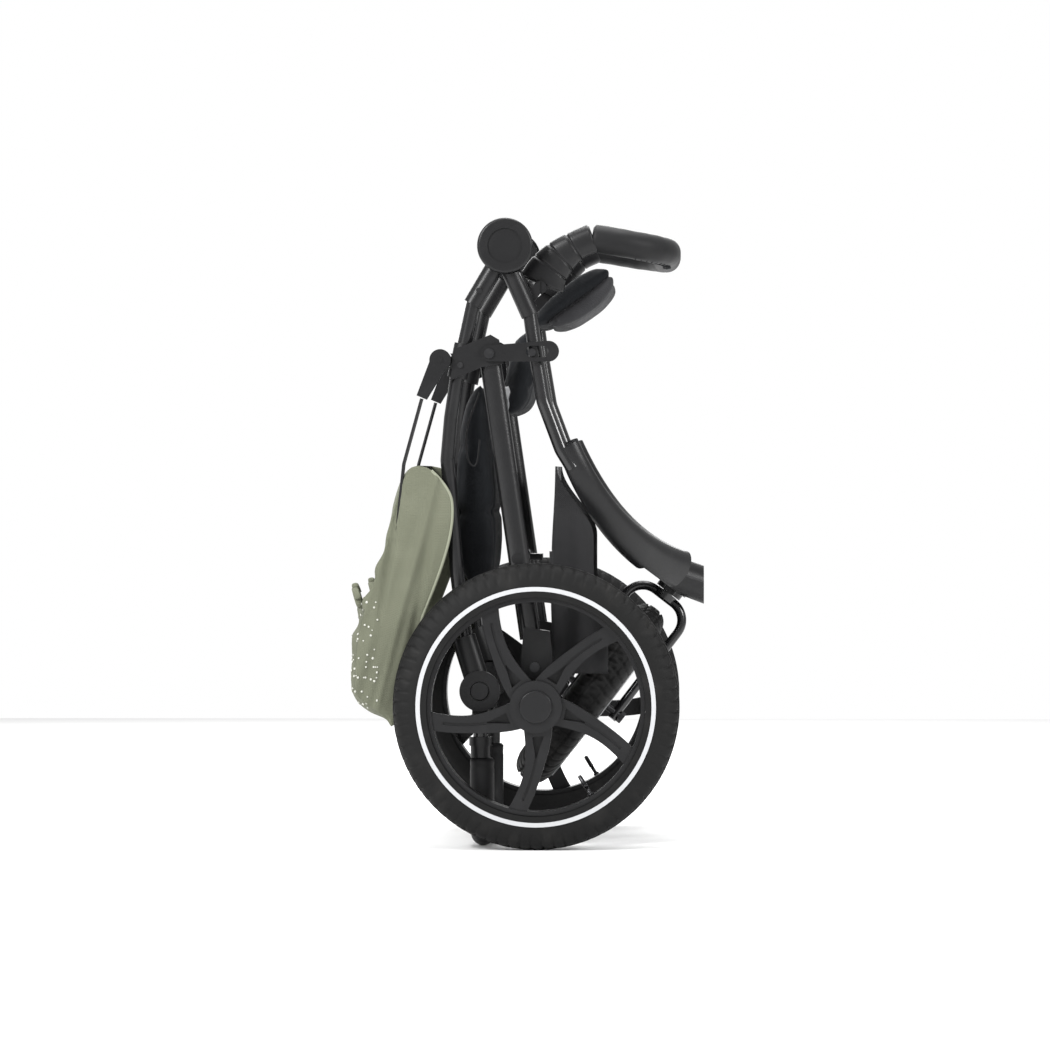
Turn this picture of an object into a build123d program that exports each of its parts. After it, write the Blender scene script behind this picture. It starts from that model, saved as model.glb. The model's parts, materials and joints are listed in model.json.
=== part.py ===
from build123d import *
from math import atan2, cos, degrees, hypot, radians, sin
import os

# Jogging stroller, folded and standing on its rear wheels and its handle.
# +X is forward, +Y is the stroller's left, +Z is up; the floor is Z = 0.
# A point written (x, z) lies in the side view. "side" is -1 on the right and +1 on the left.

# ---- driving dimensions, millimetres ----
AXLE_X = 18.0
WHEEL_D = 395.0
WHEEL_W = 55.0
WHEEL_Y = 270.5
RIM_R = 150.0
RIM_WALL = 6.0
RIM_W = 42.0
HUB_R = 36.0
HUB_W = 50.0
SPOKES = 5
SPOKE_ANGLE = 44.0
SPOKE_SWIRL = 20.0
TYRE_WALL = 6.0
RING_R = 162.0
RING_W = 6.0
CAP_R = 22.5
CAP_T = 5.0
AXLE_R = 6.0
AXLE_CLEAR = 0.05
FRAME_Y = 217.0
TUBE_R = 10.0
TUBE_WALL = 2.0
LEG_LONG = 30.0
LEG_DEEP = 20.0
BOLT_R = 4.0
PLATE_T = 4.0
CLEAR = 1.0
HINGE = (-26.0, 833.0)
PIVOT = (-48.0, 684.0)
KNUCKLE = (-61.0, 217.0)
CANOPY_PIVOT = (-115.5, 675.0)
HOUSING_BOLT = (15.0, 250.0)
COVER_R = 38.5
DISH_R = 24.0
KNUCKLE_R = 28.0
BUTTON_R = 12.7
GRIP_R = 17.0
HANDLE_X = -58.0
BRACE = (-9.0, 400.0)
BRACE_R = 8.0
PUSH_BEND = 30.0
FRONT_BEND = 40.0
PUSH_LINE = [(-44, 796), (-70, 754), (-82, 699), (-93, 649), (-101, 595), (-106, 537),
             (-93, 382), (-80, 280), (-72, 250)]
FRONT_LINE = [(-11, 794), (7, 750), (15.5, 687), (27, 618), (52, 551), (68, 525)]
HEAD = (204.0, 356.0)
STEER_TILT = degrees(atan2(0.61, 0.79))
WHEEL_DROP = 189.0
TRAIL = 25.0
FRONT_D = 305.0
FRONT_W = 56.0
FRONT_RIM_R = 112.0
FORK_R = 6.5
FORK_HALF = 46.0
LINK_PIN = (11.0, 685.5)
LINK_END_X = 34.4
LINK_R = 14.4
LINK_SLOT_R = 8.0
BUMPER_Y = 189.0
BUMPER_R = 20.0
BUMPER_BACK = (95.0, 845.0)
BUMPER_FRONT = (197.0, 828.0)
SEAT_Y = 170.0

WHEEL_Z = WHEEL_D / 2
TUBE_IN = FRAME_Y - TUBE_R
TUBE_OUT = FRAME_Y + TUBE_R
PLATE_Y = TUBE_OUT + CLEAR
LINK_Y = PLATE_Y + PLATE_T + CLEAR
HUB_IN = WHEEL_Y - HUB_W / 2
STEER = Vector(-sin(radians(STEER_TILT)), 0, -cos(radians(STEER_TILT)))
STEER_SIDE = Vector(cos(radians(STEER_TILT)), 0, -sin(radians(STEER_TILT)))
HEAD_POINT = Vector(HEAD[0], 0, HEAD[1])

os.makedirs("parts", exist_ok=True)


def side_plane(side, y):
    """Side-view plane at |Y| = y: its normal points outward and its own y is up."""
    return Plane(origin=(0, side * y, 0), x_dir=(-side, 0, 0), z_dir=(0, side, 0))


def flat(side, points):
    """Side-view points in the local frame of side_plane, which looks from outside."""
    return [(-side * x, z) for x, z in points]


def save(piece, name):
    """Write one named sub-part."""
    piece.part.label = name
    export_step(piece.part, f"parts/{name}.step")


def at(side, y, line):
    """Side-view points stood in space at |Y| = y."""
    return [(x, side * y, z) for x, z in line]


def hollow_tube(points, radius, wall, bend):
    """A round tube along the points, with bends of the given radius."""
    with BuildPart() as piece:
        with BuildLine() as route:
            FilletPolyline(*points, radius=bend)
        with BuildSketch(Plane(origin=route.line @ 0, z_dir=route.line % 0)):
            Circle(radius)
            Circle(radius - wall, mode=Mode.SUBTRACT)
        sweep()
    return piece


def solid_tube(points, radius, bend):
    """The same run as a solid rod: used for solid bars and to cut sockets."""
    with BuildPart() as piece:
        with BuildLine() as route:
            FilletPolyline(*points, radius=bend)
        with BuildSketch(Plane(origin=route.line @ 0, z_dir=route.line % 0)):
            Circle(radius)
        sweep()
    return piece


# ---- wheels: made flat about Z at the origin, outer face up, then placed ----
def tyre(outer_d, width, rim_r, crown):
    """A tyre open towards the rim: rounded outside, hollow inside."""
    with BuildPart() as piece:
        with BuildSketch():
            Circle(outer_d / 2)
            Circle(rim_r, mode=Mode.SUBTRACT)
        extrude(amount=width / 2, both=True)
        fillet(piece.edges().filter_by(GeomType.CIRCLE).group_by(SortBy.RADIUS)[-1], crown)
        with BuildSketch():
            Circle(outer_d / 2 - TYRE_WALL * 1.5)
        extrude(amount=width / 2 - TYRE_WALL, both=True, mode=Mode.SUBTRACT)
    return piece


def ring(radius, width, z_from, thick):
    """A flat ring from z_from up."""
    with BuildPart() as piece:
        with BuildSketch(Plane.XY.offset(z_from)):
            Circle(radius + width / 2)
            Circle(radius - width / 2, mode=Mode.SUBTRACT)
        extrude(amount=thick)
    return piece


def spoke_point(r, reach, tip, offset):
    """A point at radius r on a spoke, offset sideways; the spoke swirls on the way out."""
    a = radians(tip + SPOKE_SWIRL * (1 - r / reach))
    return (r * cos(a) - offset * sin(a), r * sin(a) + offset * cos(a))


def spoke_half(r, reach, hub):
    """Half the width of a spoke: wide at the hub, narrow half way, wider at the rim."""
    t = (r - hub) / (reach - hub)
    return 11.0 + 9.0 * (1 - t) ** 3 + 2.0 * t * t


def rim(rim_r, rim_w, hub_r, hub_w, bore, face):
    """Barrel, hub and five swirled twin-beam spokes with a groove and a slot in each."""
    reach = rim_r - RIM_WALL
    steps = [hub_r * 0.6, hub_r * 1.25, (hub_r + reach) / 2, reach * 0.85, reach + 2]
    with BuildPart() as piece:
        with BuildSketch():
            Circle(rim_r)
            Circle(reach, mode=Mode.SUBTRACT)
        extrude(amount=rim_w / 2, both=True)
        with BuildSketch():
            Circle(hub_r)
        extrude(amount=hub_w / 2, both=True)
        for k in range(SPOKES):
            tip = SPOKE_ANGLE + 360 / SPOKES * k
            one = [spoke_point(r, reach, tip, spoke_half(max(r, hub_r), reach, hub_r)) for r in steps]
            two = [spoke_point(r, reach, tip, -spoke_half(max(r, hub_r), reach, hub_r)) for r in steps]
            with BuildSketch(Plane.XY.offset(face - 15)):
                with BuildLine():
                    Spline(*one)
                    Line(one[-1], two[-1])
                    Spline(*two[::-1])
                    Line(two[0], one[0])
                make_face()
            extrude(amount=15)
        for k in range(SPOKES):
            tip = SPOKE_ANGLE + 360 / SPOKES * k
            lane = [spoke_point(r, reach, tip, 0) for r in (hub_r + 8, (hub_r + reach) / 2, reach - 14)]
            slot = [spoke_point(hub_r + 5, reach, tip, 8), spoke_point(hub_r + 5, reach, tip, -8),
                    spoke_point((hub_r * 2 + reach) / 3, reach, tip, 0)]
            with BuildSketch(Plane.XY.offset(face)):
                with BuildLine():
                    Polyline(*slot, close=True)
                make_face()
            extrude(amount=-11, mode=Mode.SUBTRACT)
            with BuildSketch(Plane.XY.offset(face)):
                with BuildLine():
                    Spline(*lane)
                trace(line_width=4)
            extrude(amount=-2.5, mode=Mode.SUBTRACT)
        with BuildSketch():
            Circle(bore)
        extrude(amount=hub_w, both=True, mode=Mode.SUBTRACT)
    return piece


def place(piece, plane, name):
    """A wheel part moved from its flat build to its plane."""
    moved = piece.part.moved(plane.location)
    moved.label = name
    export_step(moved, f"parts/{name}.step")


for side, word in ((-1, "right"), (1, "left")):
    wheel = Plane(origin=(AXLE_X, side * WHEEL_Y, WHEEL_Z), x_dir=(-side, 0, 0), z_dir=(0, side, 0))
    hub_face = HUB_W / 2
    place(tyre(WHEEL_D, WHEEL_W, RIM_R, 20.0), wheel, f"rear_tyre_{word}")
    place(ring(RING_R, RING_W, WHEEL_W / 2, 1.0), wheel, f"rear_reflector_{word}")
    place(rim(RIM_R, RIM_W, HUB_R, HUB_W, AXLE_R + AXLE_CLEAR, 18.0), wheel, f"rear_rim_{word}")
    with BuildPart() as cap:
        with BuildSketch(Plane.XY.offset(hub_face)):
            Circle(CAP_R)
        extrude(amount=CAP_T)
        fillet(cap.faces().sort_by(Axis.Z)[-1].edges(), 2.0)
    place(cap, wheel, f"rear_hub_cap_{word}")


def bar(start, end, deep, wide, y_mid):
    """A straight oval bar in the side view from start to end: deep across the view, wide along Y."""
    along = Vector(end[0] - start[0], 0, end[1] - start[1])
    with BuildPart() as piece:
        with BuildSketch(Plane(origin=(start[0], y_mid, start[1]), x_dir=(0, 1, 0), z_dir=along)):
            Ellipse(wide / 2, deep / 2)
        extrude(amount=along.length)
    return piece


def on_line(start, end, distance):
    """The point of the side view that lies the distance along the line from start to end."""
    length = hypot(end[0] - start[0], end[1] - start[1])
    t = distance / length
    return (start[0] + (end[0] - start[0]) * t, start[1] + (end[1] - start[1]) * t)


# ---- rear frame ----
LEG_LENGTH = hypot(HOUSING_BOLT[0] - PIVOT[0], HOUSING_BOLT[1] - PIVOT[1])
LEG_TOP = on_line(PIVOT, HOUSING_BOLT, -14.0)
LEG_FOOT = on_line(PIVOT, HOUSING_BOLT, LEG_LENGTH - 40.0)

for side, word in ((-1, "right"), (1, "left")):
    leg = bar(LEG_TOP, LEG_FOOT, LEG_LONG, LEG_DEEP, side * FRAME_Y)
    with BuildPart() as leg_cut:
        add(leg.part)
        with BuildSketch(side_plane(side, TUBE_IN - CLEAR)):
            with Locations(flat(side, [PIVOT])[0]):
                Circle(BOLT_R)
            with Locations(flat(side, [BRACE])[0]):
                Circle(BRACE_R)
        extrude(amount=LEG_DEEP + 2 * CLEAR, mode=Mode.SUBTRACT)
    save(leg_cut, f"rear_leg_{word}")

    with BuildPart() as housing:
        with BuildSketch(side_plane(side, TUBE_IN - 1)):
            with BuildLine():
                Polyline(*flat(side, [(0, 305), (36, 300), (40, 262), (36, 225), (30, 180), (6, 180),
                                      (-2, 225), (-4, 262)]), close=True)
            make_face()
        extrude(amount=LEG_DEEP + 3)
        add(leg.part, mode=Mode.SUBTRACT)
        with BuildSketch(side_plane(side, TUBE_IN - 2)):
            with Locations(flat(side, [(AXLE_X, WHEEL_Z)])[0]):
                Circle(AXLE_R)
        extrude(amount=LEG_DEEP + 5, mode=Mode.SUBTRACT)
    save(housing, f"leg_housing_{word}")

    with BuildPart() as axle:
        with BuildSketch(side_plane(side, TUBE_IN - 1)):
            with Locations(flat(side, [(AXLE_X, WHEEL_Z)])[0]):
                Circle(AXLE_R)
        extrude(amount=WHEEL_Y + HUB_W / 2 - 3 - (TUBE_IN - 1))
        with BuildSketch(side_plane(side, TUBE_OUT + 2)):
            with Locations(flat(side, [(AXLE_X, WHEEL_Z)])[0]):
                Circle(AXLE_R + 6)
        extrude(amount=HUB_IN - CLEAR - (TUBE_OUT + 2))
    save(axle, f"rear_axle_{word}")

brace_span = TUBE_OUT - 2
with BuildPart() as brace:
    with BuildSketch(Plane(origin=(BRACE[0], -brace_span, BRACE[1]), z_dir=(0, 1, 0))):
        Circle(BRACE_R)
    extrude(amount=2 * brace_span)
save(brace, "leg_brace")

with BuildPart() as pedal:
    with BuildSketch(Plane(origin=(BRACE[0], -30, BRACE[1]), z_dir=(0, 1, 0))):
        Circle(BRACE_R + 6)
    extrude(amount=60)
    with BuildSketch(Plane(origin=(BRACE[0], 0, BRACE[1]), x_dir=(0, 1, 0), z_dir=(1, 0, 0))):
        RectangleRounded(56, 9, 3)
    extrude(amount=30)
    with BuildSketch(Plane(origin=(BRACE[0], -40, BRACE[1]), z_dir=(0, 1, 0))):
        Circle(BRACE_R + AXLE_CLEAR)
    extrude(amount=80, mode=Mode.SUBTRACT)
save(pedal, "brake_pedal")

with BuildPart() as rear_bolts:
    for side in (-1, 1):
        with BuildSketch(side_plane(side, TUBE_IN)):
            with Locations(flat(side, [PIVOT])[0]):
                Circle(BOLT_R)
        extrude(amount=LINK_Y + PLATE_T - TUBE_IN)
        with BuildSketch(side_plane(side, LINK_Y + PLATE_T)):
            with Locations(flat(side, [PIVOT])[0]):
                Circle(BOLT_R + 3)
        extrude(amount=3)
        with BuildSketch(side_plane(side, TUBE_OUT + 2)):
            with Locations(flat(side, [HOUSING_BOLT])[0]):
                Circle(BOLT_R + 3)
        extrude(amount=3)
save(rear_bolts, "rear_frame_bolts")

# ---- push frame ----
PLATE = [(-94.2, 690.6), (-46, 710), (-34, 703), (-28, 670), (-58, 665), (-102.5, 646.4)]

for side, word in ((-1, "right"), (1, "left")):
    save(hollow_tube(at(side, FRAME_Y, PUSH_LINE), TUBE_R, TUBE_WALL, PUSH_BEND), f"push_tube_{word}")
    push_solid = solid_tube(at(side, FRAME_Y, PUSH_LINE), TUBE_R, PUSH_BEND)

    with BuildPart() as push_socket:
        with BuildSketch(side_plane(side, FRAME_Y)):
            with Locations(flat(side, [HINGE])[0]):
                Circle(COVER_R - 4)
        extrude(amount=14)
        top = bar((-30, 822), (-71.5, 752), 2 * TUBE_R + 6, 2 * TUBE_R + 6, side * FRAME_Y)
        add(top.part)
        with BuildSketch(side_plane(side, FRAME_Y - 30)):
            with Locations(flat(side, [HINGE])[0]):
                Circle(COVER_R - 2)
        extrude(amount=30, mode=Mode.SUBTRACT)
        add(push_solid.part, mode=Mode.SUBTRACT)
    save(push_socket, f"push_socket_{word}")

    with BuildPart() as cover:
        with BuildSketch(side_plane(side, FRAME_Y + 14)):
            with Locations(flat(side, [HINGE])[0]):
                Circle(COVER_R)
        extrude(amount=9)
        fillet(cover.faces().sort_by(Axis.Y)[-1 if side > 0 else 0].edges(), 4)
        with BuildSketch(side_plane(side, FRAME_Y + 21)):
            with Locations(flat(side, [HINGE])[0]):
                Circle(DISH_R)
        extrude(amount=4, mode=Mode.SUBTRACT)
    save(cover, f"hinge_cover_{word}")

    with BuildPart() as bracket:
        with BuildSketch(side_plane(side, PLATE_Y)):
            with BuildLine():
                Polyline(*flat(side, PLATE), close=True)
            make_face()
            with BuildLine():
                Polyline(*flat(side, [(-112, 684), (-92, 684), (-96, 662), (-116, 666)]), close=True)
            make_face()
        extrude(amount=PLATE_T)
        with BuildSketch(side_plane(side, PLATE_Y - 1)):
            with Locations(flat(side, [PIVOT])[0]):
                Circle(BOLT_R + 0.05)
        extrude(amount=PLATE_T + 2, mode=Mode.SUBTRACT)
        clamp = bar((-82.5, 697), (-92.5, 650), 2 * TUBE_R + 8, 2 * TUBE_R + 2 * CLEAR + 1,
                    side * FRAME_Y)
        add(clamp.part)
        add(push_solid.part, mode=Mode.SUBTRACT)
        with BuildSketch(side_plane(side, PLATE_Y - 1)):
            with Locations(flat(side, [CANOPY_PIVOT])[0]):
                Circle(16.5)
        extrude(amount=20, mode=Mode.SUBTRACT)
        with BuildSketch(side_plane(side, PLATE_Y - 12)):
            with Locations(flat(side, [CANOPY_PIVOT])[0]):
                Circle(12)
        extrude(amount=9)
        with BuildSketch(side_plane(side, PLATE_Y - 12)):
            with Locations(flat(side, [(-108, 673)])[0]):
                Rectangle(16, 12)
        extrude(amount=9)
        with BuildSketch(side_plane(side, PLATE_Y - 3)):
            with Locations(flat(side, [CANOPY_PIVOT])[0]):
                Circle(BOLT_R)
        extrude(amount=15)
    save(bracket, f"side_bracket_{word}")

    with BuildPart() as knuckle:
        with BuildSketch(side_plane(side, FRAME_Y)):
            with Locations(flat(side, [KNUCKLE])[0]):
                Circle(KNUCKLE_R)
                Circle(BUTTON_R + 0.5, mode=Mode.SUBTRACT)
        extrude(amount=18)
        arm = bar((-62, 222), (-84, 292), 34, 26, side * FRAME_Y)
        add(arm.part)
        with BuildSketch(side_plane(side, FRAME_Y)):
            with Locations(flat(side, [KNUCKLE])[0]):
                Circle(BUTTON_R + 0.5)
        extrude(amount=20, mode=Mode.SUBTRACT)
        with BuildSketch(side_plane(side, FRAME_Y - 20)):
            with Locations(flat(side, [KNUCKLE])[0]):
                Circle(KNUCKLE_R + 1)
        extrude(amount=20, mode=Mode.SUBTRACT)
        add(push_solid.part, mode=Mode.SUBTRACT)
    save(knuckle, f"handle_knuckle_{word}")

    with BuildPart() as button:
        with BuildSketch(side_plane(side, FRAME_Y + 6)):
            with Locations(flat(side, [KNUCKLE])[0]):
                Circle(BUTTON_R)
        extrude(amount=15)
        fillet(button.faces().sort_by(Axis.Y)[-1 if side > 0 else 0].edges(), 1.5)
    save(button, f"handle_button_{word}")

with BuildPart() as push_screws:
    for side in (-1, 1):
        for spot, y in (((-62, 771), FRAME_Y + 13), ((-88, 668), PLATE_Y + PLATE_T)):
            with BuildSketch(side_plane(side, y)):
                with Locations(flat(side, [spot])[0]):
                    Circle(4)
            extrude(amount=2.5)
save(push_screws, "push_frame_screws")

# ---- handle ----
with BuildPart() as handle:
    with BuildLine() as route:
        FilletPolyline((-61, -FRAME_Y, 186), (HANDLE_X, -FRAME_Y, GRIP_R),
                       (HANDLE_X, FRAME_Y, GRIP_R), (-61, FRAME_Y, 186), radius=45)
    with BuildSketch(Plane(origin=route.line @ 0, z_dir=route.line % 0)):
        Circle(TUBE_R)
    sweep()
    for side in (-1, 1):
        with BuildSketch(side_plane(side, FRAME_Y - 12)):
            with Locations(flat(side, [KNUCKLE])[0]):
                Circle(KNUCKLE_R - 2)
            with Locations(flat(side, [(-61, 192)])[0]):
                Rectangle(22, 30)
        extrude(amount=11.5)
save(handle, "handle_tube")

with BuildPart() as grip:
    with BuildLine() as route:
        FilletPolyline((-59.8, -FRAME_Y, 124), (HANDLE_X, -FRAME_Y, GRIP_R),
                       (HANDLE_X, FRAME_Y, GRIP_R), (-59.8, FRAME_Y, 124), radius=45)
    with BuildSketch(Plane(origin=route.line @ 0, z_dir=route.line % 0)):
        Circle(GRIP_R)
    sweep()
    add(handle.part, mode=Mode.SUBTRACT)
save(grip, "handle_grip")

with BuildPart() as collars:
    for side in (-1, 1):
        for z_low, height, radius in ((125, 16, 14), (141, 12, 16)):
            with BuildSketch(Plane(origin=(-60.2, side * FRAME_Y, z_low), z_dir=(0, 0, 1))):
                Circle(radius)
            extrude(amount=height)
    add(handle.part, mode=Mode.SUBTRACT)
save(collars, "handle_collars")

# ---- front frame ----
for side, word in ((-1, "right"), (1, "left")):
    save(hollow_tube(at(side, FRAME_Y, FRONT_LINE), TUBE_R, TUBE_WALL, FRONT_BEND), f"front_tube_{word}")

    with BuildPart() as front_socket:
        with BuildSketch(side_plane(side, FRAME_Y - 14)):
            with Locations(flat(side, [HINGE])[0]):
                Circle(COVER_R - 4)
        extrude(amount=13)
        low = bar((-19, 800), (9, 737), 2 * TUBE_R + 6, 2 * TUBE_R + 6, side * FRAME_Y)
        add(low.part)
        with BuildSketch(side_plane(side, FRAME_Y - 1)):
            with Locations(flat(side, [HINGE])[0]):
                Circle(COVER_R + 1)
        extrude(amount=40, mode=Mode.SUBTRACT)
        add(solid_tube(at(side, FRAME_Y, FRONT_LINE), TUBE_R, FRONT_BEND).part,
            mode=Mode.SUBTRACT)
    save(front_socket, f"front_socket_{word}")

with BuildPart() as latch_pin:
    with BuildSketch(side_plane(-1, FRAME_Y + 8)):
        with Locations(flat(-1, [LINK_PIN])[0]):
            Circle(5.5)
    extrude(amount=LINK_Y - CLEAR / 2 - FRAME_Y - 8)
    add(solid_tube(at(-1, FRAME_Y, FRONT_LINE), TUBE_R, FRONT_BEND).part, mode=Mode.SUBTRACT)
save(latch_pin, "latch_pin")

with BuildPart() as link:
    with BuildSketch(side_plane(-1, LINK_Y)):
        with BuildLine():
            Polyline(*flat(-1, [(-50, 695), (LINK_END_X, 701.4), (LINK_END_X, 672.6), (-50, 673)]),
                     close=True)
        make_face()
        with Locations(flat(-1, [PIVOT])[0]):
            Circle(11)
        with Locations(flat(-1, [(LINK_END_X, 687)])[0]):
            Circle(LINK_R)
        with Locations(flat(-1, [PIVOT])[0]):
            Circle(BOLT_R + 0.05, mode=Mode.SUBTRACT)
        with Locations(flat(-1, [(18.5, 686.5)])[0]):
            SlotCenterToCenter(15, 2 * LINK_SLOT_R, mode=Mode.SUBTRACT)
    extrude(amount=PLATE_T)
save(link, "latch_link")

SHELL_LINE = [(60, 559, 217, 16), (104, 475, 190, 20), (159, 414, 120, 24), (214, 382, 40, 28)]
SHELL_THIN = 11.0
with BuildPart() as shell:
    for side in (-1, 1):
        spots = [Vector(x, side * y, z) for x, z, y, _ in SHELL_LINE]
        for i, (x, z, y, half) in enumerate(SHELL_LINE):
            ahead = spots[min(i + 1, 3)] - spots[max(i - 1, 0)]
            across = ahead.cross(Vector(0, 1, 0))
            with BuildSketch(Plane(origin=spots[i], x_dir=across, z_dir=ahead)):
                Ellipse(half, SHELL_THIN + 2 * i)
        loft()
    with BuildSketch(Plane(origin=(196, 0, 0), x_dir=(0, 1, 0), z_dir=(1, 0, 0))):
        with Locations((0, 380)):
            RectangleRounded(112, 52, 24)
    with BuildSketch(Plane(origin=(250, 0, 0), x_dir=(0, 1, 0), z_dir=(1, 0, 0))):
        with Locations((0, 360)):
            RectangleRounded(64, 54, 24)
    loft()
    for side in (-1, 1):
        add(solid_tube(at(side, FRAME_Y, FRONT_LINE), TUBE_R, FRONT_BEND).part,
            mode=Mode.SUBTRACT)
    with BuildSketch(Plane(origin=HEAD_POINT, z_dir=-STEER)):
        Circle(24)
    extrude(amount=20, mode=Mode.SUBTRACT)
    with BuildSketch(Plane(origin=HEAD_POINT, z_dir=STEER)):
        Circle(120)
    extrude(amount=60, mode=Mode.SUBTRACT)
save(shell, "front_shell")

with BuildPart() as head:
    with BuildSketch(Plane(origin=HEAD_POINT, z_dir=-STEER)):
        Circle(24)
    extrude(amount=20)
    with BuildSketch(Plane(origin=HEAD_POINT, z_dir=STEER)):
        Circle(20)
    extrude(amount=8)
    with BuildSketch(Plane(origin=HEAD_POINT + STEER * 9, z_dir=-STEER)):
        Circle(8 + AXLE_CLEAR)
    extrude(amount=24, mode=Mode.SUBTRACT)
save(head, "steering_head")

with BuildPart() as lock:
    with BuildSketch(Plane(origin=HEAD_POINT + STEER * 0.5 + Vector(0, -25, 0), x_dir=(0, 1, 0),
                           z_dir=STEER)):
        RectangleRounded(9, 18, 2)
    extrude(amount=7)
save(lock, "swivel_lock")

# ---- steering and front wheel, turned a quarter turn to the side ----
def steer_point(down, across, y):
    """A point down the steering axis from the head, across in the side view, and at y."""
    p = HEAD_POINT + STEER * down + STEER_SIDE * across
    return (p.X, y, p.Z)


CROWN = 16.0
with BuildPart() as fork:
    with BuildLine() as route:
        FilletPolyline(steer_point(WHEEL_DROP + 10, -FORK_HALF, -TRAIL),
                       steer_point(120, -FORK_HALF, -TRAIL * 0.6),
                       steer_point(CROWN, -FORK_HALF, 0), steer_point(CROWN, FORK_HALF, 0),
                       steer_point(120, FORK_HALF, -TRAIL * 0.6),
                       steer_point(WHEEL_DROP + 10, FORK_HALF, -TRAIL), radius=[60, 30, 30, 60])
    with BuildSketch(Plane(origin=route.line @ 0, z_dir=route.line % 0)):
        Circle(FORK_R)
    sweep()
    with BuildSketch(Plane(origin=HEAD_POINT + STEER * 9, z_dir=STEER)):
        Circle(16)
    extrude(amount=10)
    with BuildSketch(Plane(origin=HEAD_POINT + STEER * 9, z_dir=-STEER)):
        Circle(8)
    extrude(amount=22)
    with BuildSketch(Plane(origin=steer_point(WHEEL_DROP, -70, -TRAIL), z_dir=STEER_SIDE)):
        Circle(5)
    extrude(amount=140, mode=Mode.SUBTRACT)
save(fork, "front_fork")

with BuildPart() as front_axle:
    with BuildSketch(Plane(origin=steer_point(WHEEL_DROP, -58, -TRAIL), z_dir=STEER_SIDE)):
        Circle(5)
    extrude(amount=116)
    for across in (-59, FORK_HALF + FORK_R):
        with BuildSketch(Plane(origin=steer_point(WHEEL_DROP, across, -TRAIL), z_dir=STEER_SIDE)):
            RegularPolygon(8.5, 6)
        extrude(amount=6.5)
save(front_axle, "front_axle")

front = Plane(origin=steer_point(WHEEL_DROP, 0, -TRAIL), x_dir=(0, -1, 0), z_dir=STEER_SIDE)
place(tyre(FRONT_D, FRONT_W, FRONT_RIM_R, 22.0), front, "front_tyre")
place(ring(FRONT_RIM_R + 10, RING_W, FRONT_W / 2, 1.0), front, "front_reflector")
place(rim(FRONT_RIM_R, RIM_W, 28.0, 60.0, 5 + AXLE_CLEAR, 18.0), front, "front_rim")

# ---- bumper bar ----
BUMPER_LINE = [(BUMPER_BACK[0], -BUMPER_Y, BUMPER_BACK[1]), (BUMPER_FRONT[0], -BUMPER_Y, BUMPER_FRONT[1]),
               (BUMPER_FRONT[0], BUMPER_Y, BUMPER_FRONT[1]), (BUMPER_BACK[0], BUMPER_Y, BUMPER_BACK[1])]
save(solid_tube(BUMPER_LINE, BUMPER_R, 80.0), "bumper_grip")

for side, word in ((-1, "right"), (1, "left")):
    with BuildPart() as elbow:
        with BuildSketch(side_plane(side, BUMPER_Y - 14)):
            with BuildLine():
                top = ThreePointArc(*flat(side, [(17, 828), (52, 855), (94, 865)]))
                Polyline(top @ 1, flat(side, [(91, 828)])[0], flat(side, [(72, 806)])[0],
                         flat(side, [(54, 780)])[0], flat(side, [(18, 750)])[0], top @ 0)
            make_face()
        extrude(amount=28)
        with BuildSketch(Plane(origin=(BUMPER_BACK[0], side * BUMPER_Y, BUMPER_BACK[1]),
                               z_dir=(102, 0, -17))):
            Circle(BUMPER_R + 2)
        extrude(amount=40, mode=Mode.SUBTRACT)
    save(elbow, f"bumper_elbow_{word}")

with BuildPart() as bumper_mount:
    for side in (-1, 1):
        with BuildSketch(side_plane(side, BUMPER_Y + 14.5)):
            with Locations(flat(side, [(22, 776)])[0]):
                Circle(9)
        extrude(amount=6)
        with BuildSketch(side_plane(side, BUMPER_Y + 14.5)):
            with BuildLine():
                Polyline(*flat(side, [(22, 785), (22, 767), (6, 745), (-4, 765)]), close=True)
            make_face()
        extrude(amount=9)
        stock = bar((-19, 800), (9, 737), 2 * TUBE_R + 6, 2 * TUBE_R + 6, side * FRAME_Y)
        add(stock.part, mode=Mode.SUBTRACT)
        add(solid_tube(at(side, FRAME_Y, FRONT_LINE), TUBE_R, FRONT_BEND).part, mode=Mode.SUBTRACT)
save(bumper_mount, "bumper_mounts")

# ---- canopy ----
for side, word in ((-1, "right"), (1, "left")):
    with BuildPart() as canopy_arm:
        with BuildSketch(side_plane(side, PLATE_Y)):
            with Locations(flat(side, [CANOPY_PIVOT])[0]):
                Circle(14.9)
            with BuildLine():
                Polyline(*flat(side, [(-126, 684), (-148, 626), (-134, 620), (-108, 662)]), close=True)
            make_face()
            with Locations(flat(side, [CANOPY_PIVOT])[0]):
                Circle(BOLT_R + 0.05, mode=Mode.SUBTRACT)
        extrude(amount=11)
    save(canopy_arm, f"canopy_arm_{word}")

with BuildPart() as bow:
    with BuildLine() as route:
        FilletPolyline((-141, -PLATE_Y - 5, 621.6), (-166, -PLATE_Y - 3, 531), (-200, -PLATE_Y - 3, 200),
                       (-200, PLATE_Y + 3, 200), (-166, PLATE_Y + 3, 531), (-141, PLATE_Y + 5, 621.6),
                       radius=[20, 60, 60, 20])
    with BuildSketch(Plane(origin=route.line @ 0, z_dir=route.line % 0)):
        Circle(2.5)
    sweep()
save(bow, "canopy_bow")

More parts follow.
